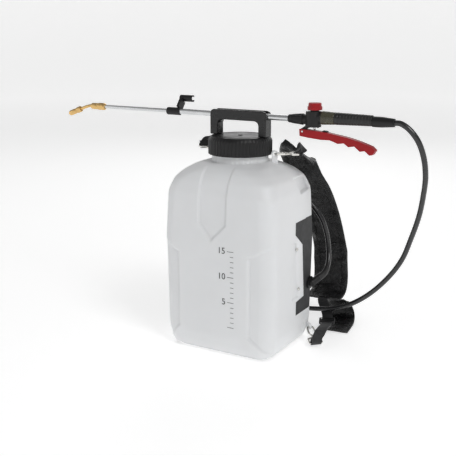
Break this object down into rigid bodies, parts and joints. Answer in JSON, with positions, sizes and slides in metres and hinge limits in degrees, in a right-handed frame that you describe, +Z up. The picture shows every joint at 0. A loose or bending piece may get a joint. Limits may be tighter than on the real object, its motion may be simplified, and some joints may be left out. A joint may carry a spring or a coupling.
{
  "type": "backpack sprayer",
  "caption": "Battery backpack sprayer: translucent tank, screw cap with carry handle holding a telescopic lance with trigger valve, coiled hose and padded shoulder straps.",
  "frame": {"origin": "centre of the tank's foot, on the surface it stands on", "axes": "+Z up, -Y the large outer face of the tank, +Y the wearer's side, +X the hose and trigger side"},
  "size_m": [0.867, 0.3746, 0.5342],
  "materials": {
    "tank": "translucent natural polyethylene",
    "housing": "dark grey fine texture",
    "black": "black moulded",
    "steel": "stainless tube",
    "nickel": "nickel plated",
    "brass": "machined brass",
    "red": "red moulded",
    "rubber": "black satin",
    "board": "circuit board",
    "strainer": "fine white mesh",
    "collar": "smoky translucent",
    "fabric": "coated nylon"
  },
  "bodies": {
    "tank": {"tank_shell": "tank", "housing_cover": "housing", "pump_tray": "black", "pump_head": "black", "pump_motor": "steel", "suction_elbow": "black", "hose_gland": "rubber", "control_board": "board", "wiring_loom": "red", "battery_terminal": "black", "switch_frame": "black", "side_screw_1": "nickel", "side_screw_2": "nickel", "side_screw_3": "nickel", "side_screw_4": "nickel", "strap_pad_right": "fabric", "strap_pad_left": "fabric", "strap_flap_right": "fabric", "strap_flap_left": "fabric", "upper_webbing_right": "fabric", "upper_webbing_left": "fabric", "lower_webbing_right": "fabric", "lower_webbing_left": "fabric", "tri_glide_right": "black", "tri_glide_left": "black", "top_hook_right": "nickel", "top_hook_left": "nickel", "bottom_hook_right": "nickel", "bottom_hook_left": "nickel", "hose": "rubber"},
    "battery": {"battery_pack": "housing"},
    "battery_latch": {"battery_latch": "red"},
    "pump_rotor": {"pump_rotor": "steel"},
    "power_rocker": {"power_rocker": "red"},
    "filler": {"cap_gasket": "rubber", "filler_strainer": "strainer"},
    "cap": {"filler_cap": "black", "carry_handle": "black", "vent_valve": "rubber"},
    "wand": {"outer_tube": "steel", "valve_body": "black", "grip_collar": "collar", "grip_sleeve": "black", "lever_pin": "steel"},
    "lance_nut": {"lance_nut": "black"},
    "hose_nut": {"hose_nut": "black"},
    "lever": {"lever": "red"},
    "lever_latch": {"lever_latch": "red"},
    "valve_plunger": {"valve_plunger": "steel"},
    "flow_knob": {"flow_knob": "red"},
    "inner_lance": {"inner_tube": "steel"},
    "tube_clip": {"tube_clip": "black"},
    "coupling_nut": {"coupling_nut": "brass"},
    "nozzle_tube": {"nozzle_tube": "steel"},
    "nozzle": {"nozzle": "brass"},
    "top_gate_right": {"top_gate_right": "nickel"},
    "top_gate_left": {"top_gate_left": "nickel"},
    "bottom_gate_right": {"bottom_gate_right": "nickel"},
    "bottom_gate_left": {"bottom_gate_left": "nickel"}
  },
  "joints": [
    {"name": "cap_lift", "type": "slide", "parent": "tank", "child": "filler", "axis": [0, 0, 1], "range_m": [0, 0.16], "deforming": ["hose"]},
    {"name": "cap_turn", "type": "hinge", "parent": "filler", "child": "cap", "pos_m": [0, 0, 0.458], "axis": [0, 0, 1], "range_deg": [0, 540], "deforming": ["hose"]},
    {"name": "wand_lift", "type": "slide", "parent": "cap", "child": "wand", "axis": [0, 0, 1], "range_m": [0, 0.12], "deforming": ["hose"]},
    {"name": "lever_squeeze", "type": "hinge", "parent": "wand", "child": "lever", "pos_m": [0.147, 0, 0.476], "axis": [0, -1, 0], "range_deg": [0, 9.4], "stiffness_Nm_per_rad": 6, "springref_deg": -8.59},
    {"name": "plunger_travel", "type": "slide", "parent": "wand", "child": "valve_plunger", "axis": [0, 0, 1], "range_m": [0, 0.0045]},
    {"name": "latch_slide", "type": "slide", "parent": "lever", "child": "lever_latch", "axis": [-0.996, 0, 0.0893], "range_m": [0, 0.004]},
    {"name": "flow_knob_turn", "type": "hinge", "parent": "wand", "child": "flow_knob", "pos_m": [0.1705, 0, 0.52], "axis": [0, 0, 1], "range_deg": [0, 270]},
    {"name": "lance_nut_turn", "type": "hinge", "parent": "wand", "child": "lance_nut", "pos_m": [0.13, 0, 0.5], "axis": [1, 0, 0], "continuous": true},
    {"name": "hose_nut_turn", "type": "hinge", "parent": "wand", "child": "hose_nut", "pos_m": [0.31, 0, 0.5035], "axis": [1, 0, 0], "continuous": true},
    {"name": "lance_slide", "type": "slide", "parent": "wand", "child": "inner_lance", "axis": [1, 0, 0], "range_m": [0, 0.15]},
    {"name": "clip_turn", "type": "hinge", "parent": "wand", "child": "tube_clip", "pos_m": [-0.167, 0, 0.5], "axis": [1, 0, 0], "range_deg": [-90, 90]},
    {"name": "coupling_turn", "type": "hinge", "parent": "inner_lance", "child": "coupling_nut", "pos_m": [-0.378, 0, 0.5], "axis": [1, 0, 0], "continuous": true},
    {"name": "nozzle_swivel", "type": "hinge", "parent": "inner_lance", "child": "nozzle_tube", "pos_m": [-0.39, 0, 0.5], "axis": [1, 0, 0], "range_deg": [-180, 180]},
    {"name": "nozzle_turn", "type": "hinge", "parent": "nozzle_tube", "child": "nozzle", "pos_m": [-0.408, 0, 0.5], "axis": [-0.9397, 0, -0.342], "range_deg": [0, 720]},
    {"name": "battery_slide", "type": "slide", "parent": "tank", "child": "battery", "axis": [0, 1, 0], "range_m": [0, 0.1]},
    {"name": "battery_latch_press", "type": "slide", "parent": "battery", "child": "battery_latch", "axis": [0, -1, 0], "range_m": [0, 0.0025], "stiffness_N_per_m": 300, "springref_m": -0.003},
    {"name": "pump_rotor_spin", "type": "hinge", "parent": "tank", "child": "pump_rotor", "pos_m": [0.086, 0.0776, 0.18], "axis": [0, 0, 1], "continuous": true},
    {"name": "power_rocker_tilt", "type": "hinge", "parent": "tank", "child": "power_rocker", "pos_m": [-0.12887, 0.077, 0.164], "axis": [0, 1, 0], "range_deg": [-8, 8]},
    {"name": "top_gate_right_open", "type": "hinge", "parent": "tank", "child": "top_gate_right", "pos_m": [0.08783, 0.03373, 0.422], "axis": [0, 0, 1], "range_deg": [0, 20], "stiffness_Nm_per_rad": 0.05, "springref_deg": -17.19},
    {"name": "top_gate_left_open", "type": "hinge", "parent": "tank", "child": "top_gate_left", "pos_m": [-0.08783, 0.03373, 0.422], "axis": [0, 0, -1], "range_deg": [0, 20], "stiffness_Nm_per_rad": 0.05, "springref_deg": -17.19},
    {"name": "bottom_gate_right_open", "type": "hinge", "parent": "tank", "child": "bottom_gate_right", "pos_m": [0.1573, 0.06188, 0.02277], "axis": [0.3395, -0.3395, 0.8772], "range_deg": [0, 20], "stiffness_Nm_per_rad": 0.05, "springref_deg": -17.19},
    {"name": "bottom_gate_left_open", "type": "hinge", "parent": "tank", "child": "bottom_gate_left", "pos_m": [-0.1573, 0.06188, 0.02277], "axis": [0.3395, 0.3395, -0.8772], "range_deg": [0, 20], "stiffness_Nm_per_rad": 0.05, "springref_deg": -17.19}
  ],
  "couplings": [
    {"joint": "plunger_travel", "follows": "lever_squeeze", "m_per_rad": 0.025}
  ]
}
